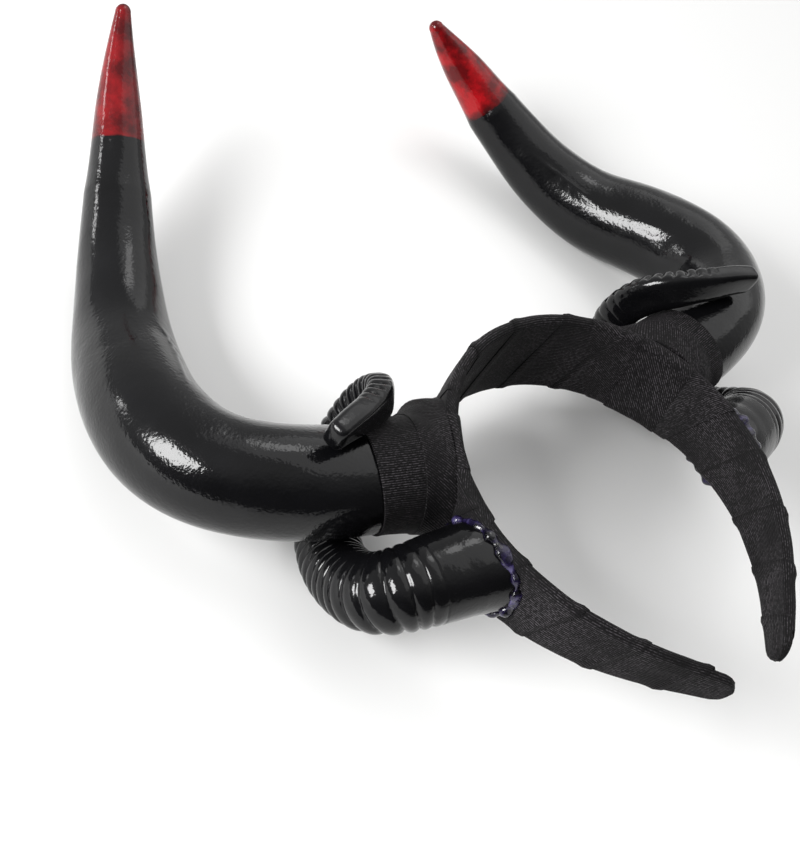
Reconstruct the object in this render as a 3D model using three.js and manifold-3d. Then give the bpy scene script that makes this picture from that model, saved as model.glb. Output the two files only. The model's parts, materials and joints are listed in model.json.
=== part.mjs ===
import * as THREE from "three";
import { mergeVertices } from "three/addons/utils/BufferGeometryUtils.js";
import Module from "manifold-3d";

// A costume headband: a ribbon-wound hair band with two long bull horns, and a ribbed ram horn
// curled once round the foot of each. All sizes are in millimetres and all angles in degrees.
// It is modelled as a wearer sees it from in front, with x to one side, y up over the crown and
// z to the front, and is laid down on its back at the end.

// Room left between two pieces that touch on the real object.
const clearance = 0.3;

// Hair band: a strip bent to an arch, broad at the crown and narrow at its two ends.
const bandHalfLength = 190; // along the strip, from the crown to a leg end
const crownRadius = 60; // bend of the strip at the crown
const legGap = 25.8; // between the middles of the two leg ends
const bandCrownWidth = 38;
const bandEndWidth = 12;
const bandTaperPower = 1.56; // the strip keeps its breadth near the crown and loses it later
const bandThickness = 3.8; // plastic with one layer of ribbon on either face
const crownSetback = 5.8; // how far behind the leg ends the crown lies
const windingTurns = 17; // an odd count, so that one turn lies flat at the crown
const ribbonStep = 0.6; // the rise where a turn laps over the one before
const windingSlant = 5; // how far a turn's edge runs along the strip as it crosses it

// Big horns. The two stems are alike, and the ends differ in length and in how far they curl in.
const hornSeat = 63.5; // along the strip, from the crown to the middle of a horn's foot
const hornSetback = 1; // the foot's middle lies this far behind the strip's
const hornStem = 200; // along the curve, from the strip
const hornEnd = { left: 65, right: 47 }; // from the stem to the point
const hornCurlIn = { left: -5, right: 40 }; // turned further in by the point
const hornRadius = 18.5; // where it is thickest
const hornRoot = 16; // the moulding is drawn back this far, then cut to the band's curve
const redLength = 45; // the painted end
const pointLength = 3; // the rounded last stretch

// Ribbon collars that bind a horn's foot.
const collarReach = 25; // along the horn, from the strip
const collarWall = 1.5;
const collarFlare = 6; // where the turns fan out along the strip
const collarFlareLength = 14;

// Ram horns.
const ramReach = 48; // how far out along the big horn the curl goes
const ramTurn = 275; // how far the curl winds round the big horn
const ramRadius = 14.6; // at its foot
const ramRoot = 18; // drawn back this far, then cut to the band's curve
const ramLean = 15; // it leaves the strip leaning up by this angle
const ramRibs = 34;
const ribDepth = 1.4; // where the ram horn is thickest
const ribFadeIn = 4; // the first and last ribs over which the grooves come and go
const ribFadeOut = 6;
const ribStart = 0.16; // shares of the ram horn's length: smooth foot, ribs, smooth end
const ribEnd = 0.82;
const ribCrowding = 0.15; // the ribs draw together towards the point

// Hot glue round a ram horn's foot.
const glueLip = 1.6; // stands out from the ram horn
const glueHeight = 3; // stands up from the strip

// Facets: sides of the round sections, lengths along a piece, and the turns of a rounded point.
const hornSides = 16;
const ramSides = 10;
const glueSides = 14;
const hornFacet = 10;
const tipFacet = 6;
const collarFacet = 5;
const pointTurns = [30, 55, 75];

// The strip's section: across in shares of half its width, out in shares of half its thickness.
// The inner face is flat between its rounded edges, and the outer one is slightly crowned.
const stripSection = [
  { across: -1, out: 0 },
  { across: -0.92, out: 0.6 },
  { across: -0.5, out: 0.92 },
  { across: 0, out: 1 },
  { across: 0.5, out: 0.92 },
  { across: 0.92, out: 0.6 },
  { across: 1, out: 0 },
  { across: 0.94, out: -0.7 },
  { across: 0.6, out: -1 },
  { across: 0, out: -1 },
  { across: -0.6, out: -1 },
  { across: -0.94, out: -0.7 },
];

// One turn of the ribbon along the strip: at in shares of the turn, lap in shares of the step.
const windingTurn = [
  { at: 0, lap: 0.1 },
  { at: 0.06, lap: 1 },
  { at: 0.33, lap: 0.7 },
  { at: 0.67, lap: 0.7 },
  { at: 0.95, lap: 0.35 },
];

// A big horn's sweep. Along runs from 0 to 1 over the stem and on to 2 over the end, and thick
// is a share of the horn's radius. Heading turns from straight out sideways to up and in, and
// lift leans to the front.
const hornSweep = [
  { along: 0, heading: 10, lift: 5, thick: 0.9 },
  { along: 0.2, heading: 15, lift: 5, thick: 0.95 },
  { along: 0.35, heading: 45, lift: -10, thick: 0.95 },
  { along: 0.5, heading: 95, lift: -15, thick: 1 },
  { along: 0.65, heading: 115, lift: -15, thick: 0.95 },
  { along: 0.8, heading: 115, lift: 10, thick: 0.8 },
  { along: 1, heading: 115, lift: 25, thick: 0.6 },
  { along: 1.5, heading: 115, lift: 35, thick: 0.4 },
  { along: 2, heading: 120, lift: 45, thick: 0.12 },
];

// A ram horn's curl round the big horn. At runs along it, and turn, a share of the whole turn,
// runs from the leg side behind the big horn to its crown side and over its front. Out is a
// share of the reach. Off, between the two surfaces, and thick are shares of the ram horn's
// own radius.
const ramCurl = [
  { at: 0, turn: 0, out: 0.1, off: 0.35, thick: 1 },
  { at: 0.15, turn: 0.05, out: 0.6, off: 0.4, thick: 0.9 },
  { at: 0.3, turn: 0.15, out: 0.7, off: 0.2, thick: 0.8 },
  { at: 0.5, turn: 0.38, out: 0.6, off: 0.1, thick: 0.7 },
  { at: 0.7, turn: 0.65, out: 0.4, off: 0.1, thick: 0.5 },
  { at: 0.85, turn: 0.85, out: 0.5, off: 0.25, thick: 0.45 },
  { at: 1, turn: 1, out: 1.05, off: 0.3, thick: 0.35 },
];

// One rib of a ram horn with the groove before it: within in shares of the rib, groove in shares
// of the depth.
const ramRib = [
  { within: 0.05, groove: 1 },
  { within: 0.5, groove: 0 },
];

// The ribbon turns of a collar, from its foot: at in shares of its length, lap in shares of the step.
const collarTurns = [
  { at: 0, lap: 0 },
  { at: 0.3, lap: 0.2 },
  { at: 0.5, lap: 0.3 },
  { at: 0.56, lap: 1 },
  { at: 0.8, lap: 0.8 },
  { at: 1, lap: 0.6 },
];

const finishes = {
  ribbon: { color: 0x242125, roughness: 0.85, metalness: 0 },
  gloss: { color: 0x0b0b0d, roughness: 0.16, metalness: 0 },
  red: { color: 0x7d0c10, roughness: 0.18, metalness: 0 },
  glue: { color: 0x1b1726, roughness: 0.2, metalness: 0 },
};

const wasm = await Module();
wasm.setup();

const radians = THREE.MathUtils.degToRad;

// A column of a table, read at a place between its rows along a smooth curve through them.
function readColumn(rows, place, key, at) {
  let i = 0;
  while (i < rows.length - 2 && rows[i + 1][place] < at) i += 1;
  const slope = (j) => {
    const before = rows[Math.max(j - 1, 0)];
    const after = rows[Math.min(j + 1, rows.length - 1)];
    return (after[key] - before[key]) / (after[place] - before[place]);
  };
  const span = rows[i + 1][place] - rows[i][place];
  const t = THREE.MathUtils.clamp((at - rows[i][place]) / span, 0, 1);
  const from = rows[i][key];
  const to = rows[i + 1][key];
  const rise = t * t * (3 - 2 * t);
  const leave = t * (1 - t) * (1 - t) * span * slope(i);
  const arrive = t * t * (t - 1) * span * slope(i + 1);
  return from + (to - from) * rise + leave + arrive;
}

// A column read along straight lines between the rows.
function readStraight(rows, place, key, at) {
  let i = 0;
  while (i < rows.length - 2 && rows[i + 1][place] < at) i += 1;
  const share = (at - rows[i][place]) / (rows[i + 1][place] - rows[i][place]);
  return THREE.MathUtils.lerp(rows[i][key], rows[i + 1][key], THREE.MathUtils.clamp(share, 0, 1));
}

// A closed body through rings of points, each ring a loop of as many points, with flat ends.
function loft(rings) {
  const count = rings[0].length;
  const middles = [rings[0], rings.at(-1)].map((ring) =>
    ring.reduce((sum, p) => sum.add(p), new THREE.Vector3()).divideScalar(count),
  );
  const points = [...rings.flat(), ...middles];
  const index = [];
  const firstMiddle = points.length - 2;
  const lastMiddle = points.length - 1;
  const lastRing = (rings.length - 1) * count;
  for (let j = 0; j < count; j += 1) {
    const next = (j + 1) % count;
    for (let i = 0; i < rings.length - 1; i += 1) {
      const a = i * count + j;
      const b = i * count + next;
      index.push(a, b, b + count, a, b + count, a + count);
    }
    index.push(firstMiddle, next, j, lastMiddle, lastRing + j, lastRing + next);
  }
  const geometry = new THREE.BufferGeometry().setFromPoints(points);
  geometry.setIndex(index);
  return solidOf(geometry);
}

// A manifold solid of a closed geometry, with its faces turned outwards.
function solidOf(geometry) {
  geometry.deleteAttribute("normal");
  geometry.deleteAttribute("uv");
  const merged = mergeVertices(geometry, 1e-4);
  const triVerts = new Uint32Array(merged.index.array);
  const make = () =>
    new wasm.Manifold(
      new wasm.Mesh({ numProp: 3, vertProperties: merged.attributes.position.array, triVerts }),
    );
  const made = make();
  if (made.volume() > 0) return made;
  for (let i = 0; i < triVerts.length; i += 3) {
    [triVerts[i + 1], triVerts[i + 2]] = [triVerts[i + 2], triVerts[i + 1]];
  }
  return make();
}

// The largest body of a solid that a cut has left in several.
function largestBody(solid) {
  return solid.decompose().reduce((a, b) => (b.volume() > a.volume() ? b : a));
}

function geometryOf(solid) {
  const { vertProperties, triVerts } = solid.getMesh();
  const geometry = new THREE.BufferGeometry();
  geometry.setAttribute("position", new THREE.BufferAttribute(vertProperties, 3));
  geometry.setIndex(new THREE.BufferAttribute(triVerts, 1));
  geometry.computeVertexNormals();
  return geometry;
}

// Rings about a path of { point, radius, ahead }, carried along it without twisting. They are
// round, or wider along the strip by a flare on either side.
function ringsAlong(path, sides) {
  const normal = new THREE.Vector3(0, 0, 1);
  return path.map(({ point, radius, ahead, flare = 0 }) => {
    normal.addScaledVector(ahead, -normal.dot(ahead)).normalize();
    const side = ahead.clone().cross(normal);
    return Array.from({ length: sides }, (_, j) => {
      const angle = (2 * Math.PI * j) / sides;
      return point
        .clone()
        .addScaledVector(normal, radius * Math.cos(angle))
        .addScaledVector(side, (radius + flare) * Math.sin(angle));
    });
  });
}

// Hair band. The strip's heading from level at a share a of its half length is
// crownBend * a - slack * a^5, so it is round at the crown and straight at the legs.
const archSteps = 400;
function archWith(slack) {
  const crownBend = bandHalfLength / crownRadius;
  const step = bandHalfLength / archSteps;
  const rows = [{ x: 0, y: 0, heading: 0 }];
  for (let i = 1; i <= archSteps; i += 1) {
    const share = i / archSteps;
    const heading = crownBend * share - slack * share ** 5;
    const last = rows[i - 1];
    const middle = (heading + last.heading) / 2;
    rows.push({
      x: last.x + step * Math.cos(middle),
      y: last.y - step * Math.sin(middle),
      heading,
    });
  }
  return rows;
}

// The slack is halved in on until the leg ends stand as far apart as they should.
function archToGap() {
  let low = -Math.PI;
  let high = Math.PI;
  for (let i = 0; i < 50; i += 1) {
    const slack = (low + high) / 2;
    if (archWith(slack).at(-1).x < legGap / 2) low = slack;
    else high = slack;
  }
  return archWith(low);
}
const arch = archToGap();

// The strip's middle line at a distance from the crown, below zero on the -x side.
function archAt(distance) {
  const share = Math.min(Math.abs(distance) / bandHalfLength, 1);
  const i = Math.min(Math.floor(share * archSteps), archSteps - 1);
  const t = share * archSteps - i;
  const side = Math.sign(distance) || 1;
  const heading = THREE.MathUtils.lerp(arch[i].heading, arch[i + 1].heading, t);
  return {
    point: new THREE.Vector3(
      side * THREE.MathUtils.lerp(arch[i].x, arch[i + 1].x, t),
      THREE.MathUtils.lerp(arch[i].y, arch[i + 1].y, t),
      -crownSetback * (1 - share),
    ),
    outward: new THREE.Vector3(side * Math.sin(heading), Math.cos(heading), 0),
    share,
  };
}

// Half the strip's width at a share of its half length, with the leg end rounded.
function halfWidthAt(share) {
  const taper = share ** bandTaperPower;
  const plain = THREE.MathUtils.lerp(bandCrownWidth, bandEndWidth, taper) / 2;
  const roundFrom = 1 - bandEndWidth / 2 / bandHalfLength;
  const into = Math.max(0, (share - roundFrom) / (1 - roundFrom));
  return plain * Math.sqrt(Math.max(0.02, 1 - into * into));
}

function bandSolid() {
  const turnLength = (2 * bandHalfLength) / windingTurns;
  const half = (windingTurns - 1) / 2;
  const stations = [];
  for (let k = -half; k <= half; k += 1) {
    for (const { at, lap } of windingTurn) {
      stations.push({
        distance: (k - 0.5 + at) * turnLength,
        lap,
        slant: windingSlant * Math.sin((Math.PI * Math.abs(k)) / half) * Math.sign(k),
      });
    }
  }
  // The first and last stretch is shared out again, finely enough to round the strip's ends.
  const endStretch = bandEndWidth / 2;
  const inner = stations.filter((s) => Math.abs(s.distance) < bandHalfLength - endStretch - 1);
  const endShares = [0, 0.4, 0.7, 0.9, 1];
  const ending = (side) =>
    endShares.map((share) => ({
      distance: side * (bandHalfLength - endStretch * (1 - share)),
      lap: 0.2,
      slant: 0,
    }));
  const all = [...ending(-1).reverse(), ...inner, ...ending(1)];
  const rings = all.map(({ distance, lap, slant }) =>
    stripSection.map(({ across, out }) => {
      const lean = out < 0 ? -1 : 1;
      const { point, outward, share } = archAt(distance + slant * across * lean * Math.abs(out));
      const rise = ribbonStep * lap;
      const width = halfWidthAt(share) + rise / 2;
      point.z += across * width;
      return point.addScaledVector(outward, out * (bandThickness / 2 + rise));
    }),
  );
  return loft(rings);
}

// Everything within the strip's outer face as far as the horns stand on it, grown by a clearance
// and broad enough to cut a foot.
function withinBand(grow) {
  const outside = bandThickness / 2 + ribbonStep + grow;
  const stretch = hornSeat + 2 * (hornRadius + ramRadius);
  const shape = new THREE.Shape();
  const samples = 96;
  for (let i = 0; i <= samples; i += 1) {
    const { point, outward } = archAt(stretch * ((2 * i) / samples - 1));
    point.addScaledVector(outward, outside);
    if (i === 0) shape.moveTo(point.x, point.y);
    else shape.lineTo(point.x, point.y);
  }
  shape.closePath();
  const depth = 3 * bandCrownWidth;
  const block = new THREE.ExtrudeGeometry(shape, { depth, bevelEnabled: false });
  return solidOf(block.translate(0, 0, -depth / 2));
}

// Big horns, worked out on the +x side and mirrored for the other.
const foot = archAt(hornSeat).point;
foot.z -= hornSetback;

// A big horn whose end has a length and curls in by an angle: its own length, and its middle
// line, direction and radius at a distance from the strip, also a little behind it.
function bigHorn(end, curlIn) {
  const length = hornStem + end;
  const count = Math.round(length);
  const alongAt = (distance) =>
    distance < hornStem ? distance / hornStem : 1 + (distance - hornStem) / end;
  const sweep = [foot.clone()];
  for (let i = 1; i <= count; i += 1) {
    const along = alongAt(((i - 0.5) / count) * length);
    const inwards = curlIn * Math.max(0, along - 1);
    const heading = radians(readColumn(hornSweep, "along", "heading", along) + inwards);
    const lift = radians(readColumn(hornSweep, "along", "lift", along));
    const step = new THREE.Vector3(
      Math.cos(lift) * Math.cos(heading),
      Math.cos(lift) * Math.sin(heading),
      Math.sin(lift),
    );
    sweep.push(sweep[i - 1].clone().addScaledVector(step, length / count));
  }
  const at = (distance) => {
    const share = THREE.MathUtils.clamp(distance / length, 0, 1) * count;
    const i = Math.min(Math.floor(share), count - 1);
    const ahead = sweep[i + 1].clone().sub(sweep[i]).normalize();
    const point = sweep[i].clone().lerp(sweep[i + 1], share - i);
    if (distance < 0) point.addScaledVector(ahead, distance);
    const thick = readColumn(hornSweep, "along", "thick", alongAt(Math.max(distance, 0)));
    return { point, ahead, radius: hornRadius * thick };
  };
  return { length, at };
}

const horns = {
  left: bigHorn(hornEnd.left, hornCurlIn.left),
  right: bigHorn(hornEnd.right, hornCurlIn.right),
};
const stemAt = horns.right.at;

// Distances from one to another in steps of about a length.
function steps(from, to, length) {
  const count = Math.max(1, Math.round((to - from) / length));
  return Array.from({ length: count + 1 }, (_, i) => THREE.MathUtils.lerp(from, to, i / count));
}

function hornPath(horn, from, to, length, grow) {
  return steps(from, to, length).map((distance) => {
    const { point, ahead, radius } = horn.at(distance);
    return { point, ahead, radius: radius + grow };
  });
}

function hornSolid(horn) {
  const path = hornPath(horn, -hornRoot, horn.length - redLength, hornFacet, 0);
  return loft(ringsAlong(path, hornSides)).subtract(withinBand(clearance));
}

function hornTipSolid(horn) {
  const redStart = horn.length - redLength;
  const pointFrom = horn.length - pointLength;
  const path = hornPath(horn, redStart + clearance, pointFrom, tipFacet, 0);
  const { point: last, ahead, radius } = horn.at(pointFrom);
  for (const turn of pointTurns) {
    path.push({
      point: last.clone().addScaledVector(ahead, pointLength * Math.sin(radians(turn))),
      ahead,
      radius: radius * Math.cos(radians(turn)),
    });
  }
  return loft(ringsAlong(path, hornSides));
}

// Ribbon collars.
function collarOuter(grow) {
  const length = collarReach + hornRoot;
  const path = steps(-hornRoot, collarReach, collarFacet).map((distance) => {
    const { point, ahead, radius } = stemAt(distance);
    const lap = readStraight(collarTurns, "at", "lap", (distance + hornRoot) / length);
    const wall = clearance + collarWall + ribbonStep * lap;
    const fan = Math.max(0, 1 - Math.max(distance, 0) / collarFlareLength) ** 2;
    return { point, ahead, radius: radius + wall + grow, flare: collarFlare * fan };
  });
  return loft(ringsAlong(path, hornSides));
}

function collarSolid() {
  const past = collarFacet;
  const bore = hornPath(horns.right, -hornRoot - past, collarReach + past, past, clearance);
  const ring = collarOuter(0)
    .subtract(loft(ringsAlong(bore, hornSides)))
    .subtract(withinBand(clearance))
    .subtract(ramTube(clearance));
  return largestBody(ring);
}

// Ram horns: a curve wound about the big horn's middle line, clear of its surface and its collar.
const lean = radians(ramLean);
const outwards = new THREE.Vector3(Math.cos(lean), Math.sin(lean), 0);
const legwards = new THREE.Vector3(Math.sin(lean), -Math.cos(lean), 0);
const backwards = new THREE.Vector3(0, 0, -1);

const curlSteps = 24;
const curlPoints = steps(0, 1, 1 / curlSteps).map((at) => {
  const [turn, out, off, thick] = ["turn", "out", "off", "thick"].map((key) =>
    readColumn(ramCurl, "at", key, at),
  );
  const { point, radius } = stemAt(out * ramReach);
  const reach = radius + ramRadius * (thick + off);
  const angle = radians(turn * ramTurn);
  return point
    .clone()
    .addScaledVector(legwards, reach * Math.cos(angle))
    .addScaledVector(backwards, reach * Math.sin(angle));
});
curlPoints.unshift(curlPoints[0].clone().addScaledVector(outwards, -ramRoot));
const curl = new THREE.CatmullRomCurve3(curlPoints, false, "centripetal");

// The ram horn's radius at a place on its curve, whose first stretch is the root.
function ramRadiusAt(t) {
  const at = Math.max(0, (t * (curlPoints.length - 1) - 1) / curlSteps);
  return ramRadius * readColumn(ramCurl, "at", "thick", at);
}

// Places along the ram horn, as shares of the curve's own parameter, with the groove between
// two ribs and the rib's crest.
function ramStations() {
  const stations = steps(0, ribStart, 0.035).map((at) => ({ at, groove: 0 }));
  for (let i = 0; i < ramRibs; i += 1) {
    for (const { within, groove } of ramRib) {
      const x = (i + within) / ramRibs;
      const crowded = x + ribCrowding * x * (1 - x);
      const fade = Math.min(1, (i + 1) / ribFadeIn, (ramRibs - i) / ribFadeOut);
      stations.push({ at: THREE.MathUtils.lerp(ribStart, ribEnd, crowded), groove: groove * fade });
    }
  }
  const smoothEnd = steps(ribEnd + 0.01, 0.985, 0.03).map((at) => ({ at, groove: 0 }));
  return [...stations, ...smoothEnd];
}

function ramTube(grow) {
  const path = ramStations().map(({ at, groove }) => {
    const t = curl.getUtoTmapping(at);
    const radius = ramRadiusAt(t);
    return {
      point: curl.getPoint(t),
      ahead: curl.getTangent(t),
      radius: radius - ribDepth * groove * (radius / ramRadius) + grow,
    };
  });
  const last = path.at(-1);
  for (const turn of pointTurns) {
    path.push({
      point: last.point.clone().addScaledVector(last.ahead, last.radius * Math.sin(radians(turn))),
      ahead: last.ahead,
      radius: last.radius * Math.cos(radians(turn)),
    });
  }
  return loft(ringsAlong(path, ramSides));
}

function ramSolid() {
  return ramTube(0).subtract(withinBand(clearance));
}

// Hot glue: a lip round the ram horn's foot, as high above the strip all the way round, and cut
// back to what it sits between.
function glueSolid() {
  const path = steps(0, 2 * ramRoot, ramRoot / 4).map((distance) => {
    const t = curl.getUtoTmapping(distance / curl.getLength());
    const radius = ramRadiusAt(t) + clearance + glueLip;
    return { point: curl.getPoint(t), ahead: curl.getTangent(t), radius };
  });
  const ring = loft(ringsAlong(path, glueSides))
    .intersect(withinBand(glueHeight))
    .subtract(ramTube(clearance))
    .subtract(withinBand(clearance))
    .subtract(collarOuter(clearance));
  return largestBody(ring);
}

// Assembly.
function piece(name, solid, finish) {
  const mesh = new THREE.Mesh(geometryOf(solid), new THREE.MeshStandardMaterial(finishes[finish]));
  mesh.name = name;
  return mesh;
}

const headband = new THREE.Group();
headband.add(piece("band", bandSolid(), "ribbon"));

const alike = {
  collar: { solid: collarSolid(), finish: "ribbon" },
  ram_horn: { solid: ramSolid(), finish: "gloss" },
  glue: { solid: glueSolid(), finish: "glue" },
};
for (const [side, horn] of Object.entries(horns)) {
  const pieces = {
    horn: { solid: hornSolid(horn), finish: "gloss" },
    horn_tip: { solid: hornTipSolid(horn), finish: "red" },
    ...alike,
  };
  for (const [name, { solid, finish }] of Object.entries(pieces)) {
    const placed = side === "left" ? solid.mirror([1, 0, 0]) : solid;
    headband.add(piece(`${name}_${side}`, placed, finish));
  }
}

// Laying it down: seen from the side, the outline's lowest edge under the middle of the weight
// is what it rests on, so the headband is turned until that edge is level.
function layDown(group) {
  const side = [];
  let weight = 0;
  let balance = 0;
  group.children.forEach(({ geometry }) => {
    const at = geometry.attributes.position;
    const corners = [0, 1, 2].map(() => new THREE.Vector3());
    for (let i = 0; i < geometry.index.count; i += 3) {
      corners.forEach((corner, j) => corner.fromBufferAttribute(at, geometry.index.getX(i + j)));
      const [a, b, c] = corners;
      const volume = a.dot(b.clone().cross(c)) / 6;
      weight += volume;
      balance += (volume * (a.y + b.y + c.y)) / 4;
    }
    for (let i = 0; i < at.count; i += 1) side.push({ y: at.getY(i), z: at.getZ(i) });
  });
  side.sort((a, b) => a.y - b.y || a.z - b.z);
  const under = [];
  for (const p of side) {
    while (under.length > 1) {
      const [q, r] = under.slice(-2);
      if ((r.y - q.y) * (p.z - q.z) - (r.z - q.z) * (p.y - q.y) > 0) break;
      under.pop();
    }
    under.push(p);
  }
  const i = under.findIndex((p) => p.y > balance / weight);
  const edge = { y: under[i].y - under[i - 1].y, z: under[i].z - under[i - 1].z };
  group.rotation.x = -Math.atan2(edge.z, edge.y);
  group.updateMatrixWorld(true);
  const box = new THREE.Box3().setFromObject(group, true);
  const middle = box.getCenter(new THREE.Vector3());
  group.position.set(-middle.x, -middle.y, -box.min.z);
}

layDown(headband);
const part = new THREE.Group();
part.add(headband);

export default part;
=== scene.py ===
import json

import bpy
import numpy as np
from mathutils import Matrix, Vector


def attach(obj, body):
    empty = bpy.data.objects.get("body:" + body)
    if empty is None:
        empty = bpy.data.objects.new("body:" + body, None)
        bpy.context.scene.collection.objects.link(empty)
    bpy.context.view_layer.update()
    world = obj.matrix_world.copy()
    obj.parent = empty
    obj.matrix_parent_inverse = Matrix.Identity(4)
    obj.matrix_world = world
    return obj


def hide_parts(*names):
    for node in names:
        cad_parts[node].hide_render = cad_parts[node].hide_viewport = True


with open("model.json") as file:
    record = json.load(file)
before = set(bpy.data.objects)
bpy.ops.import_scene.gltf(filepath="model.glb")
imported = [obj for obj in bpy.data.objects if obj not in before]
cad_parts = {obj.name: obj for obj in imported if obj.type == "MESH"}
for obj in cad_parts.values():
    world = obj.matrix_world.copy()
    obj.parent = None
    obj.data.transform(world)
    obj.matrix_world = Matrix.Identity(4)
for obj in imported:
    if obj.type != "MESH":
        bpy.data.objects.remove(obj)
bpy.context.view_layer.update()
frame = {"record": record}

# A ribbon-wound hair band with two bull horns and two small ram horns, lying on its back.
# Everything is worked out in millimetres as a wearer sees it from in front: x to one side, y up
# over the crown, z to the front. The seat under the crown says how that lies on the floor.

seat = frame["record"]["mounts"][0]
seatWorn = np.array([0.0, -2.436, -1.0])  # the same point in the worn frame
tilt = np.arctan2(-seat["axis"][2], -seat["axis"][1])
turnBack = np.array([
    [1.0, 0.0, 0.0],
    [0.0, np.cos(tilt), -np.sin(tilt)],
    [0.0, np.sin(tilt), np.cos(tilt)],
])
shift = np.array(seat["pos_m"]) * 1000 - turnBack @ seatWorn


def onFloor(points):  # worn frame in mm to the floor's frame in m
    return (points @ turnBack.T + shift) / 1000


def direction(vector):  # the same turn for a direction
    return turnBack @ np.asarray(vector, float)


# Small helpers on whole arrays

fullTurn = 2 * np.pi


def unit(vectors):
    return vectors / np.linalg.norm(vectors, axis=-1, keepdims=True)


def smooth(x):  # 0 to 1 with level ends: 3x^2 - 2x^3
    x = np.clip(x, 0, 1)
    return x * x * (3 - 2 * x)


def readColumn(table, place, key, at):  # cubic between rows, slope at a row from its neighbours
    x, y = np.array(table[place], float), np.array(table[key], float)
    rows = np.arange(len(x))
    before, after = np.maximum(rows - 1, 0), np.minimum(rows + 1, len(x) - 1)
    slope = (y[after] - y[before]) / (x[after] - x[before])
    i = np.clip(np.searchsorted(x, at, side="left") - 1, 0, len(x) - 2)
    span = x[i + 1] - x[i]
    t = np.clip((at - x[i]) / span, 0, 1)
    bends = t * (1 - t) ** 2 * span * slope[i] + t * t * (t - 1) * span * slope[i + 1]
    return y[i] + (y[i + 1] - y[i]) * smooth(t) + bends


def ripple(u, v, seed, waves=7):  # a few sines of u and whole-number turns of v, about -1 to 1
    draw = np.random.default_rng(seed)
    total = np.zeros(np.broadcast(u, v).shape)
    for n in range(waves):
        fu, fv = draw.uniform(0.5, 3.0), draw.integers(0, 4)
        total += np.sin(fullTurn * (fu * u + fv * v + draw.uniform())) / (1 + 0.5 * n)
    return total / 2.2


# A closed skin on a grid: rows run along the piece and columns round it. The columns join up. The
# rows join up too when wrap is set, and end in a fan at the row's middle when it isn't.
def addSurface(name, points, uv, material, wrap=False, sharp=None):
    nu, nv = points.shape[:2]
    flat = points.reshape(-1, 3)
    rowCount = nu if wrap else nu - 1
    i, j = np.meshgrid(np.arange(rowCount), np.arange(nv), indexing="ij")
    ii, jj = (i + 1) % nu, (j + 1) % nv
    quads = np.stack([i * nv + j, i * nv + jj, ii * nv + jj, ii * nv + j], -1).reshape(-1, 4)
    iu = i + 1
    quadUv = np.stack([uv[i, j], uv[i, j + 1], uv[iu, j + 1], uv[iu, j]], -2).reshape(-1, 4, 2)
    loops, loopUv = [quads.ravel()], [quadUv.reshape(-1, 2)]
    sizes = [np.full(len(quads), 4)]
    if not wrap:
        for row, turn in ((0, 1), (nu - 1, -1)):
            middle = len(flat)
            flat = np.vstack([flat, points[row].mean(0)])
            k = np.arange(nv)
            fan = np.stack([row * nv + (k + 1) % nv, row * nv + k, np.full(nv, middle)], -1)
            fanUv = np.stack([uv[row, k + 1], uv[row, k], (uv[row, k] + uv[row, k + 1]) / 2], -2)
            loops.append(fan[:, ::turn].ravel())
            loopUv.append(fanUv[:, ::turn].reshape(-1, 2))
            sizes.append(np.full(nv, 3))
    loops, loopUv, sizes = np.concatenate(loops), np.vstack(loopUv), np.concatenate(sizes)
    starts = np.concatenate([[0], np.cumsum(sizes)[:-1]])
    a, b, c, d = (flat[quads[:, n]] for n in range(4))
    volume = sum((a * np.cross(*pair)).sum() for pair in ((b, c), (c, d)))
    if volume < 0:  # inside out, so each face is read the other way round
        which = np.repeat(np.arange(len(sizes)), sizes)
        order = starts[which] + sizes[which] - 1 - (np.arange(len(loops)) - starts[which])
        loops, loopUv = loops[order], loopUv[order]
    mesh = bpy.data.meshes.new(name)
    mesh.vertices.add(len(flat))
    mesh.vertices.foreach_set("co", onFloor(flat).astype(np.float32).ravel())
    mesh.loops.add(len(loops))
    mesh.loops.foreach_set("vertex_index", loops.astype(np.int32))
    mesh.polygons.add(len(sizes))
    mesh.polygons.foreach_set("loop_start", starts.astype(np.int32))
    mesh.polygons.foreach_set("use_smooth", np.ones(len(sizes), bool))
    layer = mesh.uv_layers.new(name="UVMap")
    layer.uv.foreach_set("vector", loopUv.astype(np.float32).ravel())
    mesh.update(calc_edges=True)
    mesh.validate()
    if sharp is not None:
        mesh.set_sharp_from_angle(angle=np.radians(sharp))
    mesh.materials.append(material)
    piece = bpy.data.objects.new(name, mesh)
    bpy.context.scene.collection.objects.link(piece)
    return piece


def addPiece(name, surface, material, slot, *nodes, wrap=False, sharp=None):
    points, uv = surface
    piece = addSurface(name, points, uv, material, wrap, sharp)
    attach(piece, "root")
    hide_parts(*nodes)


# Hair band: the strip's middle line, whose heading at a share a is crownBend a - slack a^5

bandSettings = {
    "halfLength": 190.0, "crownRadius": 60.0, "legGap": 25.8,
    "crownWidth": 38.0, "endWidth": 12.0, "taperPower": 1.56,
    "thickness": 3.8, "crownSetback": 5.8,
}


def makeArch(settings):
    share = np.linspace(0, 1, 1601)
    step = settings["halfLength"] / 1600
    low, high = -np.pi, np.pi
    for _ in range(50):  # the slack is halved in on until the leg ends stand as far apart as told
        slack = (low + high) / 2
        heading = settings["halfLength"] / settings["crownRadius"] * share - slack * share**5
        middle = (heading[1:] + heading[:-1]) / 2
        x = np.concatenate([[0], np.cumsum(np.cos(middle) * step)])
        low, high = (slack, high) if x[-1] < settings["legGap"] / 2 else (low, slack)
    y = -np.concatenate([[0], np.cumsum(np.sin(middle) * step)])
    return {"share": share, "x": x, "y": y, "heading": heading}


arch = makeArch(bandSettings)


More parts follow.
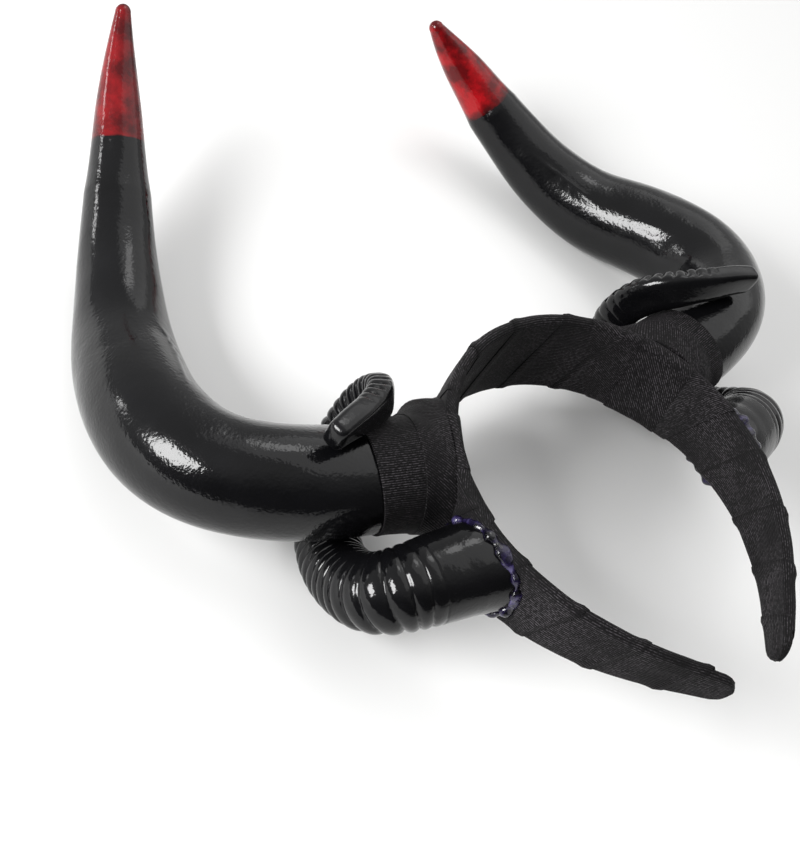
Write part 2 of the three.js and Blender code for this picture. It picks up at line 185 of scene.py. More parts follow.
# The strip's middle point, outward direction and share, at distances from the crown.
def archAt(distance):
    share = np.clip(np.abs(distance) / bandSettings["halfLength"], 0, 1)
    side = np.where(distance < 0, -1.0, 1.0)
    heading = np.interp(share, arch["share"], arch["heading"])
    x = side * np.interp(share, arch["share"], arch["x"])
    y = np.interp(share, arch["share"], arch["y"])
    z = -bandSettings["crownSetback"] * (1 - share)
    outward = np.stack([side * np.sin(heading), np.cos(heading), np.zeros_like(heading)], -1)
    return np.stack([x, y, z], -1), outward, share


def halfWidthAt(share):  # broad at the crown, narrow at the ends
    taper = share ** bandSettings["taperPower"]
    return (bandSettings["crownWidth"] * (1 - taper) + bandSettings["endWidth"] * taper) / 2


# Round a strip's section, v from 0 to 1 by arc length: flat faces joined by half circles. Gives
# across and out in mm, starting at the front edge and going over the outer face first.
def sectionAt(v, halfWidth, halfThick):
    flatHalf = np.maximum(halfWidth - halfThick, 0.1)
    flat, bend = 2 * flatHalf, np.pi * halfThick
    at = (v % 1.0) * 2 * (flat + bend)
    quarter = bend / 2
    onOuter = (at >= quarter) & (at < quarter + flat)
    onBack = (at >= quarter + flat) & (at < quarter + flat + bend)
    onInner = (at >= quarter + flat + bend) & (at < quarter + 2 * flat + bend)
    angleFront = np.where(at < quarter, at / halfThick, (at - 2 * (flat + bend)) / halfThick)
    angleBack = np.pi / 2 + (at - quarter - flat) / halfThick
    across = flatHalf + halfThick * np.cos(angleFront)
    out = halfThick * np.sin(angleFront)
    across = np.where(onOuter, flatHalf - (at - quarter), across)
    out = np.where(onOuter, halfThick, out)
    across = np.where(onBack, -flatHalf + halfThick * np.cos(angleBack), across)
    out = np.where(onBack, halfThick * np.sin(angleBack), out)
    across = np.where(onInner, -flatHalf + (at - quarter - flat - bend), across)
    out = np.where(onInner, -halfThick, out)
    return across, out


def stripPoint(distance, v, lift):  # a point on the wound strip, lifted off it by some mm
    point, outward, share = archAt(distance)
    draw = endDraw(distance)
    halfThick = (bandSettings["thickness"] / 2 - 0.4 + lift) * (0.35 + 0.65 * draw)
    across, out = sectionAt(v, (halfWidthAt(share) - 0.4 + lift) * draw, halfThick)
    point = point + out[..., None] * outward
    point[..., 2] += across
    return point


# Big horns: a middle line from its heading and lift, summed up in quarter millimetres

hornSettings = {
    "seat": 63.5, "setback": 1.0, "stem": 200.0,
    "end": {"left": 65.0, "right": 47.0}, "curlIn": {"left": -5.0, "right": 40.0},
    "radius": 18.5, "red": {"left": 47.0, "right": 45.0}, "point": 3.0,
    "lumps": 0.16,  # how far the moulding wanders from round, mm
    "columns": 144, "rowStep": 0.9, "redRows": 90, "pointRows": 14,
}

# Along runs from 0 to 1 over the stem and on to 2 over the end. Thick is a share of the radius.
hornSweep = {
    "along": [0, 0.2, 0.35, 0.5, 0.65, 0.8, 1, 1.5, 2],
    "heading": [10, 15, 45, 95, 115, 115, 115, 115, 120],
    "lift": [5, 5, -10, -15, -15, 10, 25, 35, 45],
    "thick": [0.9, 0.95, 0.95, 1, 0.95, 0.8, 0.6, 0.4, 0.12],
}


def makeHorn(side):
    end = hornSettings["end"][side]
    length = hornSettings["stem"] + end
    count = int(length * 4)
    foot, _, _ = archAt(np.array(hornSettings["seat"]))
    foot[2] -= hornSettings["setback"]

    def headingOf(distance):
        stem = hornSettings["stem"]
        along = np.where(distance < stem, distance / stem, 1 + (distance - stem) / end)
        inwards = hornSettings["curlIn"][side] * np.maximum(0, along - 1)
        heading = np.radians(readColumn(hornSweep, "along", "heading", along) + inwards)
        lift = np.radians(readColumn(hornSweep, "along", "lift", along))
        level = np.cos(lift)
        ahead = np.stack([level * np.cos(heading), level * np.sin(heading), np.sin(lift)], -1)
        return ahead, along

    middles = (np.arange(count) + 0.5) * length / count
    steps = headingOf(middles)[0] * length / count
    line = foot + np.vstack([np.zeros(3), np.cumsum(steps, 0)])
    places = np.linspace(0, length, count + 1)

    def at(distance):  # middle point, direction and radius at distances from the strip
        inside = np.clip(distance, 0, length)
        ahead, along = headingOf(inside)
        point = np.stack([np.interp(inside, places, line[:, n]) for n in range(3)], -1)
        point = point + np.minimum(distance, 0)[..., None] * ahead
        radius = hornSettings["radius"] * readColumn(hornSweep, "along", "thick", along)
        return point, ahead, radius

    return {"length": length, "at": at}


horns = {side: makeHorn(side) for side in ("left", "right")}


def ringFrame(ahead):  # two directions across a path, the first as near to the front as it can be
    front = np.array([0.0, 0.0, 1.0])
    normal = unit(front - (ahead @ front)[..., None] * ahead)
    return normal, np.cross(ahead, normal)


def mirrored(points, side):  # the left side is the right one with x turned round
    return points * np.array([-1.0, 1.0, 1.0]) if side == "left" else points


def turns(angle, middle, width):  # a bump of 1 at an angle in degrees, falling off over a width
    off = (np.degrees(angle) - middle + 180) % 360 - 180
    return np.exp(-(off / width) ** 2)


def hump(x, middle, width):  # the same along a length
    return np.exp(-(((x - middle) / width) ** 2))


# The moulding's seam and its dent: distances along the horn and heights in mm, and places and
# wander round it in degrees.
seamSettings = {
    "left": {
        "from": 96, "to": 142, "at": 333, "wander": 7, "ridge": 0.35, "puckers": 0.18,
        "dentAlong": 105, "dentRound": 300, "dentDepth": 0.3,
    },
    "right": {
        "from": 135, "to": 180, "at": 315, "wander": 5, "ridge": 0.25, "puckers": 0.08,
        "dentAlong": 100, "dentRound": 295, "dentDepth": 0.4,
    },
}


# Rings round the middle line. The radius has slow lumps, a seam that stands up as a thin ridge
# with a hollow beside it and small puckers, and one dent inside the bend.
def hornSkin(side, distance, angle):
    horn, seam = horns[side], seamSettings[side]
    point, ahead, radius = horn["at"](distance)
    normal, across = ringFrame(ahead)
    seed = 3 if side == "left" else 4
    lumps = hornSettings["lumps"] * ripple(distance / 90, angle / fullTurn, seed)
    lumps = lumps * smooth((horn["length"] - distance) / 60)
    along = smooth((distance - seam["from"]) / 12) * smooth((seam["to"] - distance) / 12)
    place = seam["at"] + seam["wander"] * np.sin(distance / 11)
    ridge = seam["ridge"] * (turns(angle, place, 3) - 0.3 * turns(angle, place + 11, 7))
    wave = np.sin(distance / 1.8 + 3 * np.sin(distance / 5))
    pucker = seam["puckers"] * wave * turns(angle, place - 6, 7)
    dentAlong, dentRound, depth = seam["dentAlong"], seam["dentRound"], seam["dentDepth"]
    dent = depth * hump(distance, dentAlong, 6) * turns(angle, dentRound, 9)
    dent = dent + 0.6 * depth * hump(distance, dentAlong + 9, 9) * turns(angle, dentRound + 10, 5)
    r = radius + lumps + along * (ridge + pucker) - dent
    ring = normal * np.cos(angle)[..., None] + across * np.sin(angle)[..., None]
    return point + ring * r[..., None]


def hornSurface(side, distance, columns):  # rows at distances, which may differ round the horn
    angle = np.linspace(0, fullTurn, columns, endpoint=False)[None, :]
    distance = np.broadcast_to(distance, (len(distance), columns))
    points = hornSkin(side, distance, np.broadcast_to(angle, distance.shape))
    around = np.linspace(0, fullTurn, columns + 1)[None, :] * hornSettings["radius"]
    along = np.concatenate([distance, distance[:, :1]], axis=1)
    uv = np.stack(np.broadcast_arrays(along, around), -1)
    return mirrored(points, side), uv


def stemSurface(side):  # the black stretch, whose first rows follow the strip's curve
    columns = hornSettings["columns"]
    angle = np.linspace(0, fullTurn, columns, endpoint=False)[None, :]

    def wall(distance):
        return hornSkin("right", np.broadcast_to(distance[:, None], (len(distance), columns)), angle)

    foot = firstAbove(wall, -8, 14, 0.3)
    redFrom = horns[side]["length"] - hornSettings["red"][side]
    rows = np.linspace(0, 1, int(redFrom / hornSettings["rowStep"]))[:, None]
    black = np.maximum(foot[None, :] + 2 * rows, foot.min() + (redFrom - foot.min()) * rows)
    return hornSurface(side, black, columns)


# The red stretch and its point, whose rings shrink like a cosine while they go out like a sine.
# The UV's first number is the distance from the black.
def redSurface(side):
    horn, point = horns[side], hornSettings["point"]
    redFrom = horn["length"] - hornSettings["red"][side]
    red = np.linspace(redFrom, horn["length"] - point, hornSettings["redRows"])[:, None]
    points, uv = hornSurface(side, red, hornSettings["columns"])
    centre, ahead, _ = horn["at"](np.array([horn["length"] - point]))
    centre, ahead = mirrored(centre, side), mirrored(ahead, side)
    turn = np.linspace(0, np.pi / 2, hornSettings["pointRows"])[1:-1, None, None]
    dome = centre + (points[-1] - centre) * np.cos(turn) + ahead * (point * np.sin(turn))
    domeUv = uv[-1] + np.array([point, 0]) * np.sin(turn)
    uv = np.concatenate([uv, domeUv])
    uv[..., 0] -= redFrom
    return np.concatenate([points, dome]), uv


# Ram horns: a curl about the big horn's middle line, worked out from a short table

ramSettings = {
    "reach": 48.0, "turn": 275.0, "radius": 14.6, "root": 18.0, "lean": 15.0,
    "ribs": 38, "ribDepth": 2.1, "ribStart": 0.16, "ribEnd": 0.93, "crowding": 0.02,
    "bladeFrom": 0.6, "bladeOver": 0.2, "narrow": 0.32,  # where and how much the end is flattened
    "roundFrom": 0.98,  # share of the length where the blunt end starts
    "stations": 620, "columns": 96, "rootStations": 90, "smoothOver": 5.0,
}

ramCurl = {
    "at": [0, 0.15, 0.3, 0.5, 0.7, 0.85, 1],
    "turn": [0, 0.05, 0.15, 0.38, 0.65, 0.85, 1],
    "out": [0.1, 0.6, 0.7, 0.6, 0.4, 0.5, 1.05],
    "off": [0.35, 0.4, 0.2, 0.1, 0.1, 0.15, 0.2],
    "thick": [1, 0.9, 0.8, 0.7, 0.5, 0.45, 0.35],
}


# The curl's middle line at even arc lengths, with its direction, the way out from the big horn,
# its radius and its share of the whole length.
def makeCurl():
    stations, rootCount = ramSettings["stations"], ramSettings["rootStations"]
    lean = np.radians(ramSettings["lean"])
    outwards = np.array([np.cos(lean), np.sin(lean), 0])
    legwards = np.array([np.sin(lean), -np.cos(lean), 0])
    backwards = np.array([0, 0, -1.0])
    at = np.linspace(0, 1, 1500)
    columns = [readColumn(ramCurl, "at", key, at) for key in ("turn", "out", "off", "thick")]
    turn, out, off, thick = columns
    core, _, coreRadius = horns["right"]["at"](out * ramSettings["reach"])
    reach = coreRadius + ramSettings["radius"] * (thick + off)
    angle = np.radians(turn * ramSettings["turn"])
    away = legwards * np.cos(angle)[:, None] + backwards * np.sin(angle)[:, None]
    curl = core + away * reach[:, None]
    back = np.linspace(-ramSettings["root"], 0, rootCount, endpoint=False)
    line = np.vstack([curl[0] + outwards * back[:, None], curl])
    away = np.vstack([np.repeat(away[:1], rootCount, 0), away])
    radius = ramSettings["radius"] * np.concatenate([np.ones(rootCount) * thick[0], thick])
    far = np.concatenate([[0], np.cumsum(np.linalg.norm(np.diff(line, axis=0), axis=1))])
    even = np.linspace(0, far[-1], stations)
    line, away, radius = (
        np.stack([np.interp(even, far, column) for column in np.atleast_2d(rows.T)], -1)
        for rows in (line, away, radius)
    )
    # A running mean over a few mm takes the kink out of the root.
    width = int(ramSettings["smoothOver"] / (far[-1] / stations)) | 1
    pad = width // 2
    padded = np.vstack([2 * line[0] - line[pad:0:-1], line, 2 * line[-1] - line[-2:-pad - 2:-1]])
    line = np.stack([np.convolve(padded[:, n], np.ones(width) / width, "valid") for n in range(3)], -1)
    ahead = unit(np.gradient(line, axis=0))
    normal = unit(away - (away * ahead).sum(-1, keepdims=True) * ahead)
    return {"line": line, "ahead": ahead, "normal": normal, "across": np.cross(ahead, normal),
            "radius": radius[:, 0], "share": even / far[-1], "far": even}


# How deep the groove is at a share of the length, 0 to 1. The ribs crowd towards the point: their
# count x solves q = x + c x (1 - x). Between two grooves a rib swells like sin^0.4.
def ramGroove(share):
    c, ribs = ramSettings["crowding"], ramSettings["ribs"]
    start, end = ramSettings["ribStart"], ramSettings["ribEnd"]
    q = np.clip((share - start) / (end - start), 0, 1)
    x = ((1 + c) - np.sqrt((1 + c) ** 2 - 4 * c * q)) / (2 * c)
    groove = 1 - np.abs(np.sin(np.pi * x * ribs)) ** 0.4
    fade = np.clip(np.minimum((x * ribs + 0.6) / 3, (1 - x) * ribs / 4), 0, 1)
    return groove * fade * ((q > 0) & (q < 1))


# Rings round the curl: the radius less the grooves. Towards the point the section turns from round
# to a blade with flat sides, |x|^p + |y|^p = 1 with p from 2 to 3.5, whose ribs stay on the edge
# nearer the big horn's point.
def ramSurface(curl, side):
    columns = ramSettings["columns"]
    angle = np.linspace(0, fullTurn, columns, endpoint=False)[None, :]
    base, normal, across = curl["line"][0], curl["normal"][0], curl["across"][0]
    ring = normal * np.cos(angle[0])[:, None] + across * np.sin(angle[0])[:, None]

    def wall(distance):
        return base + ring[None] * curl["radius"][0] + distance[:, None, None] * curl["ahead"][0]

    low = firstAbove(wall, 0, 40, 0.2)
    far = curl["far"][:, None]
    rows = np.arange(len(far))[:, None]
    first = np.maximum(low[None, :] + 0.02 * rows, far)  # the foot follows the strip's curve
    first = first[np.searchsorted(curl["far"], low.min()):]
    total = curl["far"][-1]
    share = np.minimum(first / total, 1)
    line, normal, across = (
        np.stack([np.interp(first, curl["far"], curl[key][:, n]) for n in range(3)], -1)
        for key in ("line", "normal", "across")
    )
    radius = np.interp(first, curl["far"], curl["radius"])
    blade = smooth((share - ramSettings["bladeFrom"]) / ramSettings["bladeOver"])
    tipward = smooth((np.cos(angle + 1) + 0.2) / 0.7)  # 1 on the side of the big horn's point
    slant = 0.004 * np.sin(angle + 0.6)  # ribs stand a little askew
    seed = 11 if side == "left" else 12
    wander = 0.0025 * ripple(share * 9, angle / fullTurn, seed)
    groove = ramGroove(share + slant + wander)
    shallow = 0.6 + 0.4 * smooth((np.cos(angle) + 0.9) / 1.3)
    groove = groove * (shallow * (1 - blade) + 1.8 * tipward * blade)
    power = 2 + 1.5 * blade
    squared = (np.abs(np.cos(angle)) ** power + np.abs(np.sin(angle)) ** power) ** (-1 / power)
    r = radius * squared - ramSettings["ribDepth"] * groove * radius / ramSettings["radius"]
    r = r + 0.14 * ripple(share * 5, angle / fullTurn, 21)
    atEnd = np.clip((share - ramSettings["roundFrom"]) / (1 - ramSettings["roundFrom"]), 0, 1)
    endRound = np.sqrt(np.clip(1 - atEnd**3, 0.01, 1))
    narrow = 1 - ramSettings["narrow"] * blade
    x = normal * (np.cos(angle) * r * endRound)[..., None]
    y = across * (np.sin(angle) * r * narrow * endRound)[..., None]
    points = line + x + y
    around = np.linspace(0, fullTurn, columns + 1)[None, :] * ramSettings["radius"]
    along = np.concatenate([first, first[:, :1]], axis=1)
    uv = np.stack(np.broadcast_arrays(along, around), -1)
    return mirrored(points, side), uv


# Ribbons: a closed thin section carried along a path given by a function of s and t

# place(s, t, lift) gives points for a ribbon: s along it, t across it from 0 to 1. The skin runs
# over the top from t 0 to 1 and back underneath, with its edges rounded off.
def ribbonSkin(place, s, tCount, thickness, widthMm, lengths):
    t = np.linspace(0, 1, tCount)
    top = np.full(tCount, thickness)
    top[[0, -1]] *= 0.6
    t = np.concatenate([t, t[::-1]])
    lift = np.concatenate([top, np.zeros(tCount)])
    points = place(s[:, None], t[None, :], lift[None, :])
    tUv = np.append(t, t[0]) * widthMm
    uv = np.stack(np.broadcast_arrays(lengths[:, None], tUv[None, :]), -1)
    return points, uv


# The ribs turned by an angle. The second number is kept far above 0, where a ribbon's own edge is.
def leaningUv(along, across, lean):
    fromEdge = 300.0
    u = along * np.cos(lean) + across * np.sin(lean)
    v = across * np.cos(lean) - along * np.sin(lean) + fromEdge
    return np.stack([u, v], -1)


windingSettings = {
    "turns": 17, "overlap": 3.2, "thickness": 0.55, "slack": 0.26,
    "perTurn": 104, "across": 13, "roundEnd": 6.0, "wovenWidth": 25.5,
}


# The half width near an end is drawn in along a quarter circle, so that the ribbon closes round it.
def endDraw(distance):
    past = np.abs(distance) - (bandSettings["halfLength"] - windingSettings["roundEnd"])
    return np.sqrt(np.clip(1 - np.clip(past / windingSettings["roundEnd"], 0, 0.985) ** 2, 0, 1))


# One long ribbon wound as a helix: it goes once round the strip's section for each unit of s and
# moves on by a pitch. Its leading edge rides up on the turn before it.
def windingPlace(s, t, lift):
    pitch = 2 * bandSettings["halfLength"] / windingSettings["turns"]
    width = pitch + windingSettings["overlap"]
    start = -bandSettings["halfLength"]
    onto = t * width
    distance = np.clip(start + (s - 0.5) * pitch + onto, start, -start)
    over = 1 - smooth((onto - windingSettings["overlap"]) / 1.6)
    sag = windingSettings["slack"] * ripple(s * 1.7, t * 0.4, 31, 9) * np.sin(np.pi * t)
    rise = lift + windingSettings["thickness"] * 1.05 * over + np.maximum(sag, -0.1) + 0.05
    return stripPoint(distance, np.broadcast_to(s, distance.shape), rise)


def windingSurface():
    count = windingSettings["turns"] * windingSettings["perTurn"]
    wound = np.linspace(0, windingSettings["turns"], count + 1)
    halfTurns = np.abs(wound / windingSettings["turns"] - 0.5) * 2
    perTurn = 4 * halfWidthAt(halfTurns) + 2 * bandSettings["thickness"]
    lengths = np.cumsum((perTurn[1:] + perTurn[:-1]) / 2 * np.diff(wound))
    return ribbonSkin(windingPlace, wound, windingSettings["across"], windingSettings["thickness"],
                      windingSettings["wovenWidth"], np.concatenate([[0], lengths]))


def bandCoreSurface():  # the strip inside the winding
    past = np.sin(np.linspace(0, np.pi / 2, 14)) * windingSettings["roundEnd"]
    straight = bandSettings["halfLength"] - windingSettings["roundEnd"]
    ends = straight + past * 0.97
    distance = np.concatenate([-ends[::-1], np.linspace(-straight, straight, 300)[1:-1], ends])
    v = np.linspace(0, 1, 64, endpoint=False)
    points = stripPoint(np.broadcast_to(distance[:, None], (len(distance), 64)), v[None, :], 0.0)
    around = np.linspace(0, 60, 65)[None, :]
    uv = np.stack(np.broadcast_arrays(distance[:, None], around), -1)
    return points, uv


# Straps: short ribbons laid over the inner face behind each horn's foot, where the binding of the
# collar crosses the strip and goes round its edges
strapSettings = {
    "thickness": 0.4, "width": 21.0, "rows": 90, "across": 15,
    "laid": [  # middle along the strip and rise off it in mm, slant per mm across, ribs' lean in degrees
        {"at": 52.0, "slant": -0.55, "rise": 0.55, "lean": 35},
        {"at": 78.0, "slant": 0.5, "rise": 0.95, "lean": -30},
        {"at": 66.0, "slant": -0.08, "rise": 1.35, "lean": 45},
    ],
}


# A strap goes round the strip's inner face: v runs from just past the front edge to just past the
# back one, and its place along the strip moves with its slant.
def strapSurface(strap, side):
    sign = -1 if side == "left" else 1

    def place(s, t, lift):
        v = 0.455 + 0.59 * s
        share = np.abs(strap["at"]) / bandSettings["halfLength"]
        half = halfWidthAt(share)
        across = (s - 0.5) * 2 * half
        distance = strap["at"] + strap["slant"] * across + (t - 0.5) * strapSettings["width"]
        fold = 0.16 * ripple(s * 0.8, t * 0.7, int(strap["at"]), 6)
        tucked = smooth(s / 0.1) * smooth((1 - s) / 0.1)
        rise = lift + strap["rise"] * tucked + fold * tucked + 0.1
        return stripPoint(sign * distance, np.broadcast_to(v, distance.shape), rise)

    s = np.linspace(0, 1, strapSettings["rows"])
    points, uv = ribbonSkin(place, s, strapSettings["across"], strapSettings["thickness"],
                            strapSettings["width"], s * 42.0)
    lean = np.radians(strap["lean"])
    return points, leaningUv(uv[..., 0], uv[..., 1], lean)


# Collars: ribbon bound round a horn's foot and fanned out on to the strip

collarSettings = {
    "reach": 25.0, "wall": 1.5, "clearance": 0.3, "flare": 6.0, "flareLength": 14.0,
    "layer": 0.3, "columns": 240,
    # the outer edge: mm further out, how much it slants, and where round the horn it is furthest
    "edge": {"left": (2.5, 6.5, 12), "right": (0.5, 1.5, 160)},
}


# How far points stand above the strip's outer face, from the nearest place on its middle line.
def standOff(points, lift):
    line = np.stack([arch["x"], arch["y"]], -1)[::8]
    flat = points.reshape(-1, 3)[:, :2]
    gap = np.linalg.norm(flat[:, None] - line[None], axis=-1)
    nearest = gap.argmin(1)
    heading = arch["heading"][::8][nearest]
    outward = np.stack([np.sin(heading), np.cos(heading)], -1)
    height = ((flat - line[nearest]) * outward).sum(-1)
    return (height - bandSettings["thickness"] / 2 - lift).reshape(points.shape[:-1])


def firstAbove(place, low, high, lift, count=90):  # the distance where place(distance) leaves the strip
    tries = np.linspace(low, high, count)
    height = standOff(place(tries), lift)
    above = height > 0
    first = np.argmax(above, axis=0)
    first = np.where(above.any(0), np.maximum(first, 1), count - 1)
    column = np.arange(height.shape[1])
    h0, h1 = height[first - 1, column], height[first, column]
    return tries[first - 1] + (tries[first] - tries[first - 1]) * np.clip(-h0 / (h1 - h0), 0, 1)


def collarSurface(side):
    angle = np.linspace(0, fullTurn, collarSettings["columns"], endpoint=False)
    further, slant, facing = collarSettings["edge"][side]
    edge = collarSettings["reach"] + further + slant * np.cos(angle - np.radians(facing))

    def skin(distance, extra):  # points on the collar at distances for every angle
        point, ahead, radius = horns["right"]["at"](distance)
        normal, across = ringFrame(ahead)
        fan = np.maximum(0, 1 - np.maximum(distance, 0) / collarSettings["flareLength"]) ** 2
        drawnIn = 1.15 * smooth((distance - 8) / (edge - 10))  # the ribbon hugs the horn at its edge
        wall = radius + collarSettings["clearance"] + collarSettings["wall"] - drawnIn + extra
        wide = wall + collarSettings["flare"] * fan
        x = normal * (np.cos(angle) * wall)[..., None]
        y = across * (np.sin(angle) * wide)[..., None]
        return point + x + y

    def plainSkin(distance):
        return skin(np.broadcast_to(distance[:, None], (len(distance), len(angle))), 0.0)

    low = firstAbove(plainSkin, -16, 22, -0.3)
    upper = np.maximum(low + 3, 11.0 + 6.5 * np.sin(angle + 0.9))  # where the upper turns end
    rows, step = [], collarSettings["layer"]
    for share in np.linspace(0, 1, 30):  # the lower turns
        rows.append((low + (upper - low) * share, 0.45 * step + step, 1))
    rows.append((upper + 0.15, 0.5 * step, 1))
    for share in np.linspace(0, 1, 40):  # the turns further out
        rows.append((upper + 0.3 + (edge - upper - 0.3) * share, 0.4 * step, 0))
    outerRows = len(rows)
    rows.append((edge + 0.2, 0.1 * step, 0))
    rows.append((edge + 0.2, -0.5, 0))
    rows.append((edge - 0.6, -1.2, 0))
    for share in np.linspace(0, 1, 5):
        rows.append((edge - 1 + (low - edge) * share, -2.6, 0))
    distance = np.stack([row[0] for row in rows])
    extra = np.stack([np.full_like(angle, row[1]) for row in rows])
    u, v = distance / 26, angle[None, :] / fullTurn
    outer = (np.arange(len(rows)) < outerRows)[:, None]
    extra = extra + 0.22 * ripple(u, v, 41 if side == "left" else 42, 8) * outer
    points = skin(distance, extra)
    turned = np.append(angle, fullTurn)[None, :] * 20.0  # mm round the collar
    along = np.concatenate([distance, distance[:, :1]], axis=1)
    lean = np.radians(38) * np.array([row[2] for row in rows])[:, None]
    uv = leaningUv(turned, along, lean)
    uv = np.concatenate([uv, uv[:1]], axis=0)
    return mirrored(points, side), uv


# Glue: a lumpy bead where the ram horn stands on the strip

glueSettings = {"bead": 0.95, "rows": 360, "columns": 20, "lumps": 0.6}


def glueSurface(curl, side):
    angle = np.linspace(0, fullTurn, glueSettings["rows"], endpoint=False)
    base, ahead = curl["line"][0], curl["ahead"][0]
    normal, across = curl["normal"][0], curl["across"][0]
    ring = normal * np.cos(angle)[:, None] + across * np.sin(angle)[:, None]

    def wallPoint(distance):  # up the ram horn's side from its root
        return base + ring[None] * (curl["radius"][0] + 0.1) + distance[:, None, None] * ahead

    low = firstAbove(wallPoint, 0, 44, 0.5)
    centre = base + ring * (curl["radius"][0] + 0.2) + low[:, None] * ahead
    forward = unit(np.roll(centre, -1, 0) - np.roll(centre, 1, 0))
    out = unit(ring - (ring * forward).sum(-1, keepdims=True) * forward)
    up = np.cross(forward, out)
    around = np.linspace(0, fullTurn, glueSettings["columns"], endpoint=False)
    u, v = angle[:, None] / fullTurn, around[None, :] / fullTurn
    seed = 51 if side == "left" else 52
    draw = np.random.default_rng(seed)
    beads = sum(
        np.sin(fullTurn * (n * u + draw.uniform())) * draw.uniform(0.3, 1) for n in (3, 5, 8, 13, 19)
    ) / 2.2
    swell = 1 + glueSettings["lumps"] * beads
    r = glueSettings["bead"] * swell + 0.12 * np.sin(fullTurn * (2 * v + 6 * u))
    r = np.maximum(r, 0.3)
    spread = 1.9 + 0.6 * ripple(u * 2, v * 0, seed + 5)
    x = out[:, None] * (np.cos(around) * r * 1.4)[..., None]
    y = up[:, None] * (np.sin(around) * r * spread)[..., None]
    alongUv = np.linspace(0, 90, glueSettings["rows"] + 1)[:, None]
    roundUv = np.linspace(0, 8, glueSettings["columns"] + 1)[None, :]
    uv = np.stack(np.broadcast_arrays(alongUv, roundUv), -1)
    return mirrored(centre[:, None] + x + y, side), uv


# Materials

def newMaterial(name):
    material = bpy.data.materials.new(name)
    material.use_nodes = True
    nodes, links = material.node_tree.nodes, material.node_tree.links
    return material, nodes, links, nodes["Principled BSDF"]


def mathNode(nodes, links, kind, first, second=None, third=None):
    node = nodes.new("ShaderNodeMath")
    node.operation = kind
    for socket, value in zip(node.inputs, (first, second, third)):
        if value is None:
            continue
        if isinstance(value, (int, float)):
            socket.default_value = value
        else:
            links.new(value, socket)
    return node.outputs[0]


def noiseNode(nodes, links, scale, detail=3.0, roughness=0.55, vector=None):
    if vector is None:
        vector = nodes.new("ShaderNodeTexCoord").outputs["Object"]
    node = nodes.new("ShaderNodeTexNoise")
    node.inputs["Scale"].default_value = scale
    node.inputs["Detail"].default_value = detail
    node.inputs["Roughness"].default_value = roughness
    links.new(vector, node.inputs["Vector"])
    return node.outputs["Fac"]


def rampNode(nodes, links, value, stops):
    node = nodes.new("ShaderNodeValToRGB")
    ramp = node.color_ramp
    while len(ramp.elements) < len(stops):
        ramp.elements.new(0.5)
    for element, (place, color) in zip(ramp.elements, stops):
        element.position = place
        element.color = (*color, 1)
    links.new(value, node.inputs["Fac"])
    return node.outputs["Color"]


def grayRamp(nodes, links, value, *stops):  # each stop is a place and a brightness
    return rampNode(nodes, links, value, [(place, (gray,) * 3) for place, gray in stops])


def waveNode(nodes, links, value, pitch):  # 0.5 + 0.5 sin, once over each pitch
    wave = mathNode(nodes, links, "SINE", mathNode(nodes, links, "MULTIPLY", value, fullTurn / pitch))
    return mathNode(nodes, links, "MULTIPLY_ADD", wave, 0.5, 0.5)


def bumpNode(nodes, links, height, strength, distance, normal=None):
    node = nodes.new("ShaderNodeBump")
    node.inputs["Strength"].default_value = strength
    node.inputs["Distance"].default_value = distance
    links.new(height, node.inputs["Height"])
    if normal is not None:
        links.new(normal, node.inputs["Normal"])
    return node.outputs["Normal"]


ribbonFinish = {
    # edge is the width in mm of the painted seam shade along the ribbon's edge
    "ribPitch": 0.8, "threadPitch": 0.5, "edge": 1.6,
    # the light colour is the painted sheen on the rib crests
    "dark": (0.0012, 0.001, 0.0012), "mid": (0.0045, 0.004, 0.0046), "light": (0.056, 0.051, 0.056),
    "roughness": 0.72, "sheen": 0.02,
    "wobbleScale": 90, "patchScale": 55, "speckScale": 1100,
}


